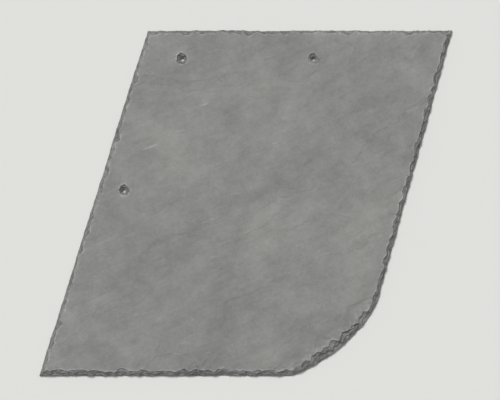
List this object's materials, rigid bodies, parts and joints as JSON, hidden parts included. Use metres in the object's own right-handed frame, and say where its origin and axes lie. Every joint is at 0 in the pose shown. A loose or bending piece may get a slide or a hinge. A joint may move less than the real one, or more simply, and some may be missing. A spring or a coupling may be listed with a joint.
{
  "type": "slate roof tile",
  "caption": "Riven natural slate for a pitched roof, a slanted slab with a rounded heel, hewn edges and punched nail holes, laid overlapping from right to left.",
  "frame": {"origin": "middle of the underside, the bed that lies on the roof boards", "axes": "+Z out of the bed towards the weathered face, +Y up the roof slope from foot to head, +X along the foot towards the heel"},
  "size_m": [0.3718, 0.32, 0.0055],
  "materials": {
    "slate": "riven, satin"
  },
  "bodies": {
    "root": {"slate": "slate"}
  },
  "joints": []
}
